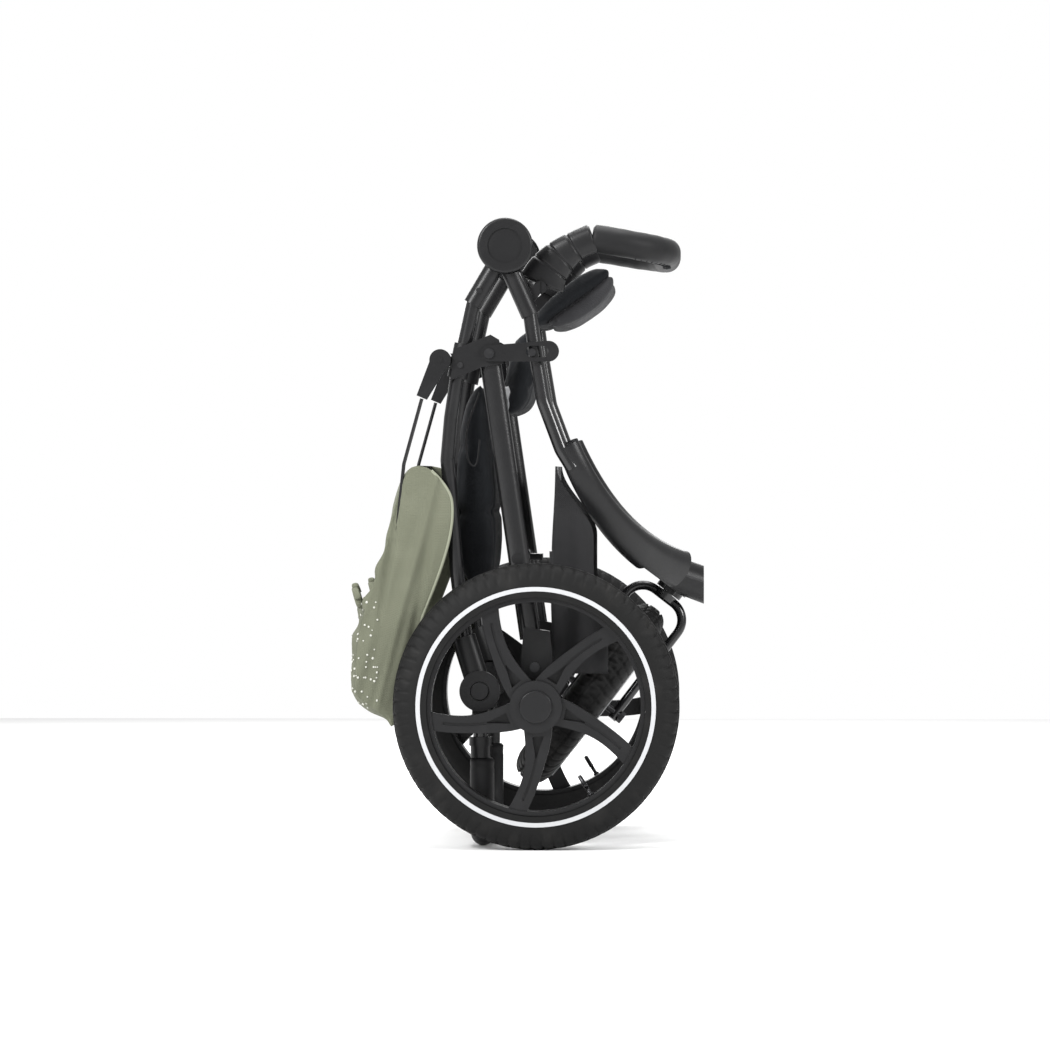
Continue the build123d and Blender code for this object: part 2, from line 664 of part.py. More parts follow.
CANOPY_BACK = [(-158, 515), (-112, 529), (-99, 505), (-96, 475), (-104, 420), (-116, 365),
               (-131, 334), (-158, 240)]
CANOPY_FOLD = [(-169, 521), (-178, 497), (-200, 450), (-221, 384), (-231, 342), (-238, 290),
               (-241, 250), (-237, 200), (-224, 172), (-186, 168), (-166, 230)]
with BuildPart() as canopy_rear:
    with BuildSketch(Plane(origin=(0, 238, 0), x_dir=(1, 0, 0), z_dir=(0, -1, 0))):
        with BuildLine():
            Polyline(*CANOPY_BACK, close=True)
        make_face()
    extrude(amount=476)
    with BuildSketch(Plane(origin=(0, 228.5, 0), x_dir=(1, 0, 0), z_dir=(0, -1, 0))):
        with BuildLine():
            Polyline((-122, 545), (-90, 545), (-90, 300), (-139, 300), (-130, 334), close=True)
        make_face()
    extrude(amount=457, mode=Mode.SUBTRACT)
save(canopy_rear, "canopy_rear")

with BuildPart() as canopy_front:
    with BuildSketch(Plane(origin=(0, 240, 0), x_dir=(1, 0, 0), z_dir=(0, -1, 0))):
        with BuildLine():
            Polyline(*CANOPY_FOLD, close=True)
        make_face()
    extrude(amount=480)
    add(bow.part, mode=Mode.SUBTRACT)
save(canopy_front, "canopy_front")

# ---- seat and basket ----
SEAT_BACK = [(-64, 650), (-46, 640), (-48, 560), (-44, 470), (-48, 400), (-46, 352), (-84, 346),
             (-92, 400), (-90, 560), (-76, 640)]
SEAT_PAN = [(-62, 652), (-40, 642), (-36, 600), (-12, 592), (2, 640), (8, 690), (18, 712), (2, 738),
            (-26, 706), (-54, 690)]
LEG_REST = [(19, 713), (34, 708), (80, 742), (106, 770), (121, 804), (92, 798), (64, 780), (30, 744),
            (3, 739)]
for name, outline, half in (("seat_back", SEAT_BACK, SEAT_Y + 25), ("seat_pan", SEAT_PAN, SEAT_Y + 25),
                            ("leg_rest", LEG_REST, SEAT_Y)):
    with BuildPart() as pad:
        with BuildSketch(Plane(origin=(0, half, 0), x_dir=(1, 0, 0), z_dir=(0, -1, 0))):
            with BuildLine():
                Polyline(*outline, close=True)
            make_face()
        extrude(amount=2 * half)
    save(pad, name)

BASKET = [(44, 528), (62, 500), (80, 466), (94, 444), (100, 380), (118, 330), (118, 245), (33, 240),
          (36, 340), (40, 398)]
with BuildPart() as basket:
    for side in (-1, 1):
        with BuildSketch(side_plane(side, 184)):
            with BuildLine():
                Polyline(*flat(side, BASKET), close=True)
            make_face()
        extrude(amount=10)
    with BuildSketch(Plane(origin=(0, 190, 0), x_dir=(1, 0, 0), z_dir=(0, -1, 0))):
        with BuildLine():
            Polyline((40, 410), (44, 528), (49, 520), (45, 410), close=True)
        make_face()
    extrude(amount=380)
save(basket, "basket")
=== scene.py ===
# %% [markdown]
# # A folded jogging stroller
# The frame is loaded first: tubes, hinges, wheels and joints, each at its real place. This lesson gives
# every surface its finish, and makes the soft pieces and the tyres as new surfaces around that frame.

# %% Load the frame
import json
import math

import bmesh
import bpy
import numpy as np
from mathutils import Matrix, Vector


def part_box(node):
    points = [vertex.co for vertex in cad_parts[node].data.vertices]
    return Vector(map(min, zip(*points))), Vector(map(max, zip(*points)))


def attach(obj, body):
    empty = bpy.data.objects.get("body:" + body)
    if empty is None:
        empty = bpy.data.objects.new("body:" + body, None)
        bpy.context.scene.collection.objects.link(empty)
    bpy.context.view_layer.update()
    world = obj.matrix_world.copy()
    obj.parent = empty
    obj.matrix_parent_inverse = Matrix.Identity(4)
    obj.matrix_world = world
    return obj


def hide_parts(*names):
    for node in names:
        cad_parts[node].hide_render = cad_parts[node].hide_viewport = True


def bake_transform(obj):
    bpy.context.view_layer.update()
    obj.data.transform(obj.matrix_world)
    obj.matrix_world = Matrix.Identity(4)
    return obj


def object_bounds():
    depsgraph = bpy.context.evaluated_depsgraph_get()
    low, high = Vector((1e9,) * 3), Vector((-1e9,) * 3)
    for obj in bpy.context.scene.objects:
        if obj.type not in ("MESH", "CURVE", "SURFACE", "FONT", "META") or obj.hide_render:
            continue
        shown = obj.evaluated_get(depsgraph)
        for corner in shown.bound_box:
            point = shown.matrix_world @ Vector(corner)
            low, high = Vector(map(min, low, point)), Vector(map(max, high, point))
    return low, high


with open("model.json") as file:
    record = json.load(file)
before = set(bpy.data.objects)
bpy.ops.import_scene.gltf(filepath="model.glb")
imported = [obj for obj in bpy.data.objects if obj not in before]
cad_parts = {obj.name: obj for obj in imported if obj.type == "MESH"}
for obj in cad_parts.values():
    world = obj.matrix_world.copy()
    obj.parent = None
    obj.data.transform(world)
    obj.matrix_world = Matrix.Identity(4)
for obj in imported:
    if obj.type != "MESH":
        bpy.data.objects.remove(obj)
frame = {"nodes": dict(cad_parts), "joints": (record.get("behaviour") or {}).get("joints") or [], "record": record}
cad_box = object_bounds()
joints = {j["name"]: j for j in frame["joints"]}
nodes = frame["nodes"]
rng = np.random.default_rng(7)
MM = 0.001
print("frame loaded:", len(nodes), "nodes, box", cad_box)


# %% [markdown]
# ## Camera, floor and light
# A long lens from far away keeps the wheels round, as in a catalogue picture. Its height is near the
# middle of the object. A lamp on each side in front is small enough to draw a highlight along the dark
# tubes, and two wide ones soften the top and the back. A black object loses its shape in a white room, so
# the sky gives the object less light than the camera sees: the backdrop stays pale, the blacks dark.

# %% Camera, floor and light
def aim(thing, place, target):
    """Put a camera or lamp at place, looking along its own -Z at target."""
    thing.location = place
    offset = [t - p for t, p in zip(target, place)]
    thing.rotation_euler = Vector(offset).to_track_quat("-Z", "Y").to_euler()


EYE_SIDE, EYE_AWAY, EYE_HEIGHT = 0.041, 7.9, 0.516
YAW, PITCH = math.radians(1.49), math.radians(-0.497)
middle = [(a + b) / 2 for a, b in zip(*cad_box)]
eye = (cad_box[1][0] - EYE_SIDE, cad_box[0][1] - EYE_AWAY, EYE_HEIGHT)
lens = bpy.data.cameras.new("studio_camera")
camera = bpy.data.objects.new("studio_camera", lens)
bpy.context.scene.collection.objects.link(camera)
lens.sensor_width = 36.0
lens.lens = 197.7
lens.clip_end = 60.0
aim(camera, eye, (eye[0] - math.sin(YAW), eye[1] + math.cos(YAW), eye[2] + math.tan(PITCH)))
bpy.context.scene.camera = camera

# Each lamp: its place in metres, its power in watts and the side of its square in metres.
LAMPS = {
    "key_left": ((-2.2, -2.8, 2.4), 170.0, 0.9),
    "key_right": ((2.8, -2.2, 1.8), 80.0, 0.8),
    "top": ((0.0, 0.3, 3.2), 100.0, 2.0),
    "back": ((-0.5, 3.0, 2.0), 70.0, 2.4),
}
for word, (place, power, size) in LAMPS.items():
    lamp = bpy.data.lights.new(word, "AREA")
    lamp.energy = power
    lamp.size = size
    holder = bpy.data.objects.new(word, lamp)
    bpy.context.scene.collection.objects.link(holder)
    aim(holder, place, middle)

world = bpy.data.worlds.new("studio")
world.use_nodes = True
sky = world.node_tree.nodes["Background"]
sky.inputs["Color"].default_value = (1, 1, 1, 1)
rays = world.node_tree.nodes.new("ShaderNodeLightPath")
level = world.node_tree.nodes.new("ShaderNodeMapRange")
SKY_LIGHT, SKY_SEEN = 0.7, 1.0
level.inputs["To Min"].default_value = SKY_LIGHT
level.inputs["To Max"].default_value = SKY_SEEN
world.node_tree.links.new(rays.outputs["Is Camera Ray"], level.inputs["Value"])
world.node_tree.links.new(level.outputs["Result"], sky.inputs["Strength"])
bpy.context.scene.world = world
bpy.context.scene.view_settings.view_transform = "Standard"


# %% [markdown]
# ## Surfaces from arrays
# Every new piece is a grid of points worked out with numpy. One helper turns a grid into a mesh, and
# another carries a ring of points along a path, which makes tubes, pads and mouldings.

# %% Helpers for surfaces
def mesh_from(name, points, faces):
    """A mesh object at the origin from an (n, 3) array and a list of faces, with its normals outward."""
    data = bpy.data.meshes.new(name)
    data.from_pydata(np.asarray(points, float).tolist(), [], faces)
    work = bmesh.new()
    work.from_mesh(data)
    bmesh.ops.remove_doubles(work, verts=work.verts, dist=1e-6)
    bmesh.ops.recalc_face_normals(work, faces=work.faces)
    work.to_mesh(data)
    work.free()
    data.shade_smooth()
    piece = bpy.data.objects.new(name, data)
    bpy.context.scene.collection.objects.link(piece)
    return piece


def grid_faces(rows, columns, wrap_rows=False, wrap_columns=False):
    """The quads of a grid, row by row; a wrapped direction joins its last line to its first."""
    r = np.arange(rows if wrap_rows else rows - 1)
    c = np.arange(columns if wrap_columns else columns - 1)
    r, c = np.meshgrid(r, c, indexing="ij")
    r2, c2 = (r + 1) % rows, (c + 1) % columns
    quads = np.stack([r * columns + c, r * columns + c2, r2 * columns + c2, r2 * columns + c], -1)
    return quads.reshape(-1, 4).tolist()


def surface(name, grid, wrap_rows=False, wrap_columns=False, cap=False):
    """A grid of points (rows, columns, 3) as one mesh; cap closes its first and last rows."""
    rows, columns = grid.shape[:2]
    faces = grid_faces(rows, columns, wrap_rows, wrap_columns)
    if cap:
        faces.append(list(range(columns)))
        faces.append(list(range((rows - 1) * columns, rows * columns)))
    return mesh_from(name, grid.reshape(-1, 3), faces)


def spread(points, count):
    """Count points evenly spaced by length along a smooth line through the given points."""
    p = np.asarray(points, float)
    for _ in range(4):
        cut = np.concatenate([p[:1], np.stack([0.75 * p[:-1] + 0.25 * p[1:],
                                               0.25 * p[:-1] + 0.75 * p[1:]], 1).reshape(-1, 3), p[-1:]])
        p = cut
    run = np.concatenate([[0], np.cumsum(np.linalg.norm(np.diff(p, axis=0), axis=1))])
    at = np.linspace(0, run[-1], count)
    return np.stack([np.interp(at, run, p[:, k]) for k in range(3)], 1)


def carry(path, wide, thick, up=(0, 1, 0), around=32, power=2.0):
    """A ring carried along a path. Its half width lies along up and its half thickness across up and
    the path; each may vary along the path. power 2 is an ellipse, more is squarer."""
    ahead = np.gradient(path, axis=0)
    ahead /= np.linalg.norm(ahead, axis=1, keepdims=True)
    up = np.broadcast_to(np.asarray(up, float), path.shape)
    side = np.cross(ahead, up)
    side /= np.linalg.norm(side, axis=1, keepdims=True)
    over = np.cross(side, ahead)
    a = np.linspace(0, 2 * np.pi, around, endpoint=False)
    c, s = np.cos(a), np.sin(a)
    c, s = np.sign(c) * abs(c) ** (2 / power), np.sign(s) * abs(s) ** (2 / power)
    wide = np.broadcast_to(wide, len(path))[:, None, None]
    thick = np.broadcast_to(thick, len(path))[:, None, None]
    return path[:, None] + over[:, None] * wide * c[None, :, None] + side[:, None] * thick * s[None, :, None]


def dress(piece, body, material, slot, *replaced):
    """Put a new piece on its body, with its finish and the nodes that it stands for, which are hidden. slot is not
    used.
    """
    piece.data.materials.append(material)
    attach(piece, body)
    if replaced:
        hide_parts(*replaced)
    print(piece.name, len(piece.data.polygons), "faces on", body)


# %% [markdown]
# ## Shared effects
# Three effects are used by many finishes: fine moulded grain, cloth weave and dusty wear. Each is a node
# group that gives out only values, so the shader stays in each material.

# %% Node groups for grain, weave and wear
def group(name, inputs, outputs):
    """An empty shader node group with float inputs and outputs, and its input and output nodes."""
    tree = bpy.data.node_groups.new(name, "ShaderNodeTree")
    for word, value in inputs.items():
        kind = "NodeSocketVector" if value is None else "NodeSocketFloat"
        socket = tree.interface.new_socket(word, in_out="INPUT", socket_type=kind)
        if value is not None:
            socket.default_value = value
    for word in outputs:
        tree.interface.new_socket(word, in_out="OUTPUT", socket_type="NodeSocketFloat")
    return tree, tree.nodes.new("NodeGroupInput"), tree.nodes.new("NodeGroupOutput")


def math_node(tree, operation, a, b=None):
    """One Math node whose inputs are sockets or numbers; gives its output socket."""
    node = tree.nodes.new("ShaderNodeMath")
    node.operation = operation
    for k, value in enumerate((a, b)):
        if value is None:
            continue
        if isinstance(value, (int, float)):
            node.inputs[k].default_value = value
        else:
            tree.links.new(value, node.inputs[k])
    return node.outputs[0]


def noise_node(tree, vector, scale, detail=3.0):
    """A Noise texture read at vector; scale is a number or a socket."""
    node = tree.nodes.new("ShaderNodeTexNoise")
    node.inputs["Detail"].default_value = detail
    tree.links.new(vector, node.inputs["Vector"])
    if isinstance(scale, (int, float)):
        node.inputs["Scale"].default_value = scale
    else:
        tree.links.new(scale, node.inputs["Scale"])
    return node.outputs["Fac"]


grain, gin, gout = group("moulded_grain", {"Vector": None, "Scale": 900.0, "Patch": 14.0},
                         ("Grain", "Patches"))
grain.links.new(noise_node(grain, gin.outputs["Vector"], gin.outputs["Scale"]), gout.inputs["Grain"])
grain.links.new(noise_node(grain, gin.outputs["Vector"], gin.outputs["Patch"], 4.0), gout.inputs["Patches"])

weave, win, wout = group("cloth_weave", {"Vector": None, "Threads": 900.0}, ("Threads", "Slub"))
split = weave.nodes.new("ShaderNodeSeparateXYZ")
weave.links.new(win.outputs["Vector"], split.inputs[0])
lines = []
for word in "XYZ":
    turn = math_node(weave, "MULTIPLY", split.outputs[word], win.outputs["Threads"])
    lines.append(math_node(weave, "SINE", turn))
both = math_node(weave, "ADD", math_node(weave, "MULTIPLY", lines[0], lines[2]),
                 math_node(weave, "MULTIPLY", lines[1], lines[2]))
weave.links.new(both, wout.inputs["Threads"])
weave.links.new(noise_node(weave, win.outputs["Vector"], 60.0, 5.0), wout.inputs["Slub"])

wear, ein, eout = group("dusty_wear", {"Vector": None, "Scale": 24.0, "Amount": 0.5}, ("Wear",))
spots = noise_node(wear, ein.outputs["Vector"], ein.outputs["Scale"], 6.0)
sharp = math_node(wear, "SUBTRACT", spots, 0.52)
strong = math_node(wear, "MULTIPLY", sharp, 6.0)
held = math_node(wear, "MINIMUM", math_node(wear, "MAXIMUM", strong, 0.0), 1.0)
wear.links.new(math_node(wear, "MULTIPLY", held, ein.outputs["Amount"]), eout.inputs["Wear"])
print("node groups:", [g.name for g in bpy.data.node_groups])


# %% [markdown]
# ## Finishes
# Nearly everything here is black, so the finishes differ in gloss and texture, not in colour: powder
# coat on tubes, grained mouldings, rubber, foam, woven and mesh cloth, and one sage green canopy.

# %% Finishes
def finish(name, base, worn, rough, bump, distance, effect, scale, wear_amount=0.4, metal=0.0, spec=0.5,
           sheen=0.0, coat=0.0):
    """A Principled material: base and worn colours mixed by wear, roughness moved by slow patches,
    and a bump from the named effect group."""
    made = bpy.data.materials.new(name)
    made.use_nodes = True
    tree = made.node_tree
    shader = tree.nodes["Principled BSDF"]
    place = tree.nodes.new("ShaderNodeTexCoord").outputs["Object"]
    texture = tree.nodes.new("ShaderNodeGroup")
    texture.node_tree = effect
    tree.links.new(place, texture.inputs["Vector"])
    texture.inputs[1].default_value = scale
    dust = tree.nodes.new("ShaderNodeGroup")
    dust.node_tree = wear
    tree.links.new(place, dust.inputs["Vector"])
    dust.inputs["Amount"].default_value = wear_amount
    mix = tree.nodes.new("ShaderNodeMix")
    mix.data_type = "RGBA"
    mix.inputs[6].default_value = (*base, 1)
    mix.inputs[7].default_value = (*worn, 1)
    tree.links.new(dust.outputs["Wear"], mix.inputs[0])
    tree.links.new(mix.outputs[2], shader.inputs["Base Color"])
    patch = tree.nodes.new("ShaderNodeMapRange")
    patch.inputs["To Min"].default_value = max(rough - 0.08, 0.05)
    patch.inputs["To Max"].default_value = min(rough + 0.1, 1.0)
    tree.links.new(texture.outputs[1], patch.inputs["Value"])
    tree.links.new(patch.outputs["Result"], shader.inputs["Roughness"])
    raised = tree.nodes.new("ShaderNodeBump")
    raised.inputs["Strength"].default_value = bump
    raised.inputs["Distance"].default_value = distance
    tree.links.new(texture.outputs[0], raised.inputs["Height"])
    tree.links.new(raised.outputs["Normal"], shader.inputs["Normal"])
    shader.inputs["Metallic"].default_value = metal
    shader.inputs["Specular IOR Level"].default_value = spec
    shader.inputs["Sheen Weight"].default_value = sheen
    shader.inputs["Sheen Roughness"].default_value = 0.4
    shader.inputs["Coat Weight"].default_value = coat
    return made


# Each finish: its fresh colour, its worn colour and its roughness, then the bump and what differs.
looks = {
    "frame_tube": finish("powder_coat", (0.006, 0.006, 0.0065), (0.011, 0.011, 0.012), 0.22,
                         bump=0.03, distance=0.0002, effect=grain, scale=2200.0,
                         spec=0.42, coat=0.06),
    "plastic": finish("grained_moulding", (0.006, 0.006, 0.0065), (0.012, 0.012, 0.0125), 0.36,
                      bump=0.3, distance=0.0003, effect=grain, scale=1500.0,
                      spec=0.26),
    "steel": finish("dark_steel", (0.045, 0.045, 0.047), (0.12, 0.12, 0.12), 0.34,
                    bump=0.1, distance=0.0002, effect=grain, scale=1800.0,
                    wear_amount=0.5, metal=1.0),
    "tyre": finish("tyre_rubber", (0.006, 0.006, 0.006), (0.014, 0.0135, 0.013), 0.6,
                   bump=0.3, distance=0.0004, effect=grain, scale=700.0,
                   wear_amount=0.6, spec=0.14),
    "reflector": finish("reflector_tape", (0.4, 0.405, 0.415), (0.32, 0.325, 0.335), 0.4,
                        bump=0.15, distance=0.0002, effect=grain, scale=1200.0,
                        wear_amount=0.3),
    "grip_foam": finish("grip_foam", (0.006, 0.006, 0.0065), (0.011, 0.011, 0.0115), 0.55,
                        bump=0.35, distance=0.0004, effect=grain, scale=1100.0,
                        spec=0.2, sheen=0.03),
    "seat_fabric": finish("seat_cloth", (0.008, 0.009, 0.0105), (0.014, 0.015, 0.0175), 0.85,
                          bump=0.5, distance=0.0004, effect=weave, scale=2600.0,
                          spec=0.14, sheen=0.06),
    # Painted sheen: a lighter grey copy of the seat cloth, for the lit lower side of the leg rest.
    "pad_fabric": finish("grey_painted_sheen", (0.026, 0.026, 0.028), (0.04, 0.04, 0.042), 0.85,
                         bump=0.5, distance=0.0004, effect=weave, scale=2600.0,
                         spec=0.2, sheen=0.08),
    "canopy_fabric": finish("sage_canopy", (0.118, 0.124, 0.088), (0.148, 0.154, 0.112), 0.8,
                            bump=0.5, distance=0.0005, effect=weave, scale=2800.0,
                            wear_amount=0.35, spec=0.2, sheen=0.05),
    "canopy_trim": finish("sage_piping", (0.21, 0.22, 0.165), (0.25, 0.26, 0.2), 0.7,
                          bump=0.4, distance=0.0003, effect=weave, scale=3600.0,
                          wear_amount=0.3, spec=0.2, sheen=0.05),
    "silver_dots": finish("silver_dots", (0.5, 0.5, 0.45), (0.4, 0.4, 0.37), 0.35,
                          bump=0.1, distance=0.0002, effect=grain, scale=1500.0,
                          wear_amount=0.3, spec=0.6),
}

slots = {s["node"]: s["material_slot"] for s in frame["record"]["subparts"]}
for name, thing in nodes.items():
    thing.data.materials.clear()
    thing.data.materials.append(looks.get(slots[name], looks["seat_fabric"]))
nodes["canopy_bow"].data.materials[0] = looks["frame_tube"]
print("finishes:", len(looks))

# %% Floor
FLOOR_HALF = 4.0
edges = [-FLOOR_HALF, FLOOR_HALF]
corners = np.stack(np.meshgrid(edges, edges, [0.0], indexing="ij"), -1)
floor = surface("floor", corners.reshape(2, 2, 3))
floor.data.materials.append(finish("pale_floor", (0.86, 0.86, 0.86), (0.84, 0.84, 0.84), 0.8, bump=0.02,
                                   distance=0.0001, effect=grain, scale=40.0, wear_amount=0.3))

# %% [markdown]
# ## Tyres with a real tread
# A tyre is a surface of revolution: its radius is a function of the way across. The tread is the same
# function minus grooves, which zigzag across the crown and run a little down the shoulders.

# %% Tyres
TREAD_DEPTH = 0.0036
BEAD_GAP = 0.0003


def tyre(name, centre, axle, outer, width, inner, blocks, around=480, across=44):
    """Half thickness across: h = w/2 |cos a|^0.75; radius = seat + (crown - seat) |sin a|^0.8, where a goes
    from bead to bead. Grooves sink the crown along lines that zigzag with the angle and the width."""
    turn = np.linspace(0, 2 * np.pi, around, endpoint=False)
    a = np.linspace(0, np.pi, across)
    h = width / 2 * np.sign(np.cos(a)) * abs(np.cos(a)) ** 0.75
    r = inner + (outer - inner) * abs(np.sin(a)) ** 0.8
    q = h / (width / 2)
    t, q2 = np.meshgrid(turn, q, indexing="ij")
    phase = t * blocks / (2 * np.pi) + 0.32 * abs(((q2 * 1.5) % 2) - 1) + np.where(q2 > 0, 0.5, 0.0)
    slit = abs((phase % 1) - 0.5)
    groove = np.clip((0.11 - slit) / 0.05, 0, 1)
    rib = np.clip((0.055 - abs(abs(q2) - 0.34)) / 0.03, 0, 1)
    tall = outer - inner
    on_tread = np.clip((r - (inner + tall * 0.5)) / (tall * 0.12), 0, 1)[None, :]
    depth = TREAD_DEPTH * on_tread * np.maximum(groove, rib * 0.8)
    radius = r[None, :] - depth
    inner_lip = 0.0012 * np.exp(-((r - inner - 0.016) / 0.0012) ** 2)
    half = h[None, :] + np.sign(h)[None, :] * inner_lip[None, :]
    axle = np.asarray(axle, float) / np.linalg.norm(axle)
    one = np.cross(axle, (0, 0, 1.0) if abs(axle[2]) < 0.9 else (1.0, 0, 0))
    one /= np.linalg.norm(one)
    two = np.cross(axle, one)
    ring = np.cos(t)[..., None] * one + np.sin(t)[..., None] * two
    grid = centre + ring * radius[..., None] + axle * half[..., None]
    return surface(name, grid, wrap_rows=True)


def valve(name, foot, toward, out):
    """A valve: a foot, a thin stem, a collar and a cap, as a profile of radius turned about its line."""
    length = np.array([0, 0, 3, 3, 14, 14, 16, 16, 30, 31.5, 32]) * MM
    radius = np.array([0.05, 4.2, 4.2, 2.6, 2.6, 3.4, 3.4, 3.2, 3.0, 2.0, 0.05]) * MM
    toward = np.asarray(toward) / np.linalg.norm(toward)
    one = np.cross(toward, out)
    turn = np.linspace(0, 2 * np.pi, 20, endpoint=False)
    ring = np.cos(turn)[:, None] * one + np.sin(turn)[:, None] * np.cross(toward, one)
    grid = np.asarray(foot) + length[:, None, None] * toward + radius[:, None, None] * ring[None]
    return surface(name, grid, wrap_columns=True)


for word, side in (("right", -1), ("left", 1)):
    low, high = (np.array(v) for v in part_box(f"rear_tyre_{word}"))
    centre = (low + high) / 2
    rim_low, rim_high = (np.array(v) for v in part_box(f"rear_rim_{word}"))
    rim_r = (rim_high[0] - rim_low[0]) / 2
    made = tyre(f"tyre_{word}", centre, (0, 1, 0), (high[0] - low[0]) / 2, high[1] - low[1],
                rim_r + BEAD_GAP, blocks=76)
    dress(made, f"rear_wheel_{word}", looks["tyre"], "tyre", f"rear_tyre_{word}")
    angle = math.radians(-58)
    toward = np.array([-math.cos(angle), 0, -math.sin(angle)])
    foot = centre - toward * (rim_r - 0.0065) + np.array([0, side * 0.004, 0])
    stem = valve(f"valve_{word}", foot, toward, (0, 1, 0))
    dress(stem, f"rear_wheel_{word}", looks["steel"], "steel")

FRONT_WIDE = 0.056
spin = joints["front_wheel_spin"]
axle = np.array(spin["axis"], float) / np.linalg.norm(spin["axis"])
centre = np.array(spin["pos_m"], float)
low, high = (np.array(v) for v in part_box("front_tyre"))
rim_low, rim_high = (np.array(v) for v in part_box("front_rim"))
front_outer = (high[1] - low[1]) / 2
front_rim_r = (rim_high[1] - rim_low[1]) / 2
made = tyre("tyre_front", centre, axle, front_outer, FRONT_WIDE, front_rim_r + BEAD_GAP, blocks=58,
            around=400)
dress(made, "front_wheel", looks["tyre"], "tyre", "front_tyre")


# %% [markdown]
# ## Bumper bar
# The bar is a bent foam tube in a laced cover. It is carried as a ring along a U, with a slight ripple
# along it as on a drawn cover, and its two elbows are ribbed bellows that fan out as they turn down.

# %% Bumper bar
def ribbed(path, wide, thick, grooves, depth=0.0022, width=0.012):
    """Sizes along a path with sharp grooves: each size loses depth near every groove's place (0 to 1)."""
    t = np.linspace(0, 1, len(path))
    sunk = sum(np.exp(-((t - g) / width) ** 2) for g in grooves) * depth
    return wide - sunk, thick - sunk


low, high = (np.array(v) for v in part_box("bumper_grip"))
GRIP = 0.0195
back_x, front_x = low[0] + 0.002, high[0] - GRIP
back_z, front_z = high[2] - GRIP, low[2] + GRIP
y_out = high[1] - GRIP
corner = 0.075
turn = np.linspace(0, np.pi / 2, 14)
arc_x = front_x - corner + corner * np.cos(turn[::-1])
arc_y = y_out - corner + corner * np.sin(turn[::-1])
half_x = np.concatenate([[back_x], np.linspace(back_x + 0.004, front_x - corner, 12), arc_x])
half_y = np.concatenate([[y_out], np.full(12, y_out), arc_y])
line = np.stack([np.concatenate([half_x, half_x[::-1]]), np.concatenate([half_y, -half_y[::-1]])], 1)
fall = (line[:, 0] - back_x) / (front_x - back_x)
line = np.column_stack([line, back_z + (front_z - back_z) * fall])
path = spread(line, 170)
t = np.linspace(0, 1, len(path))
size = GRIP * np.clip(np.minimum(t, 1 - t) / 0.006, 0.78, 1.0) + 0.0003 * np.sin(t * 90) * np.sin(t * 37)
grip = surface("bumper_cover", carry(path, size, size, (0, 0, 1), 40), wrap_columns=True, cap=True)
dress(grip, "bumper_bar", looks["grip_foam"], "grip_foam", "bumper_grip")


def stitches(name, path, offset, pitch, length, radius):
    """Small rods laid across a line at an even pitch, slanted like lacing."""
    points, faces = [], []
    run = np.linalg.norm(np.diff(path, axis=0), axis=1).sum()
    count = max(int(run / pitch), 2)
    at = spread(path, count)
    ahead = np.gradient(at, axis=0)
    ahead /= np.linalg.norm(ahead, axis=1, keepdims=True)
    around = np.linspace(0, 2 * np.pi, 6, endpoint=False)
    for k in range(count):
        across = np.cross(ahead[k], offset)
        across /= np.linalg.norm(across)
        lean = across + 0.5 * ahead[k]
        lean /= np.linalg.norm(lean)
        up = np.cross(lean, ahead[k])
        up /= np.linalg.norm(up)
        other = np.cross(lean, up)
        for end in (-1, 0, 1):
            mid = at[k] + lean * end * length / 2 + np.asarray(offset) * (0.0004 if end == 0 else -0.0006)
            points.append(mid + radius * (np.cos(around)[:, None] * up + np.sin(around)[:, None] * other))
        base = 18 * k
        faces += [[base + f for f in quad] for quad in grid_faces(3, 6, False, True)]
        faces += [[base + f for f in range(6)], [base + 12 + f for f in range(6)]]
    return mesh_from(name, np.concatenate(points), faces)


under = path[96:150] + np.array([0, 0, -1.0]) * (GRIP - 0.0002)
lace = stitches("bumper_lacing", under, (0.0, 0.0, -1.0), pitch=0.0085, length=0.012, radius=0.0009)
dress(lace, "bumper_bar", looks["seat_fabric"], "seat_fabric")

for word, side in (("right", -1), ("left", 1)):
    low, high = (np.array(v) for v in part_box(f"bumper_elbow_{word}"))
    y = (low[1] + high[1]) / 2
    tall = high[2] - low[2]
    spine = np.array([[low[0] + 0.006, y, low[2] + tall * 0.26], [low[0] + 0.014, y, low[2] + tall * 0.42],
                      [low[0] + 0.032, y, low[2] + tall * 0.60], [low[0] + 0.054, y, low[2] + tall * 0.74],
                      [high[0] + 0.002, y, high[2] - 0.0195]])
    way = spread(spine, 90)
    t = np.linspace(0, 1, 90)
    deep = 0.033 - 0.0125 * np.clip(t / 0.75, 0, 1)
    wide = 0.0135 + 0.005 * t
    deep, wide = ribbed(way, deep, wide, (0.27, 0.47, 0.7))
    ends = np.clip(np.minimum(t / 0.03, (1 - t) / 0.015), 0.86, 1)
    elbow = surface(f"bumper_bellows_{word}", carry(way, wide * ends, deep * ends, (0, 1, 0), 40, 2.6),
                    wrap_columns=True, cap=True)
    dress(elbow, "bumper_bar", looks["plastic"], "plastic", f"bumper_elbow_{word}")


# %% [markdown]
# ## Canopy
# Folded, the hood is a bundle as wide as the seat: an outer layer that wraps three sides, closed by a
# seam at its top and hem. At each height the bundle is a closed ring, and the rings shrink to a seam line
# at both ends. Folds are ripples that run along the fabric's fall.

# %% Canopy
def smooth_step(x, a, b):
    """0 before a, 1 after b, and a smooth rise between."""
    t = np.clip((x - a) / (b - a), 0, 1)
    return t * t * (3 - 2 * t)


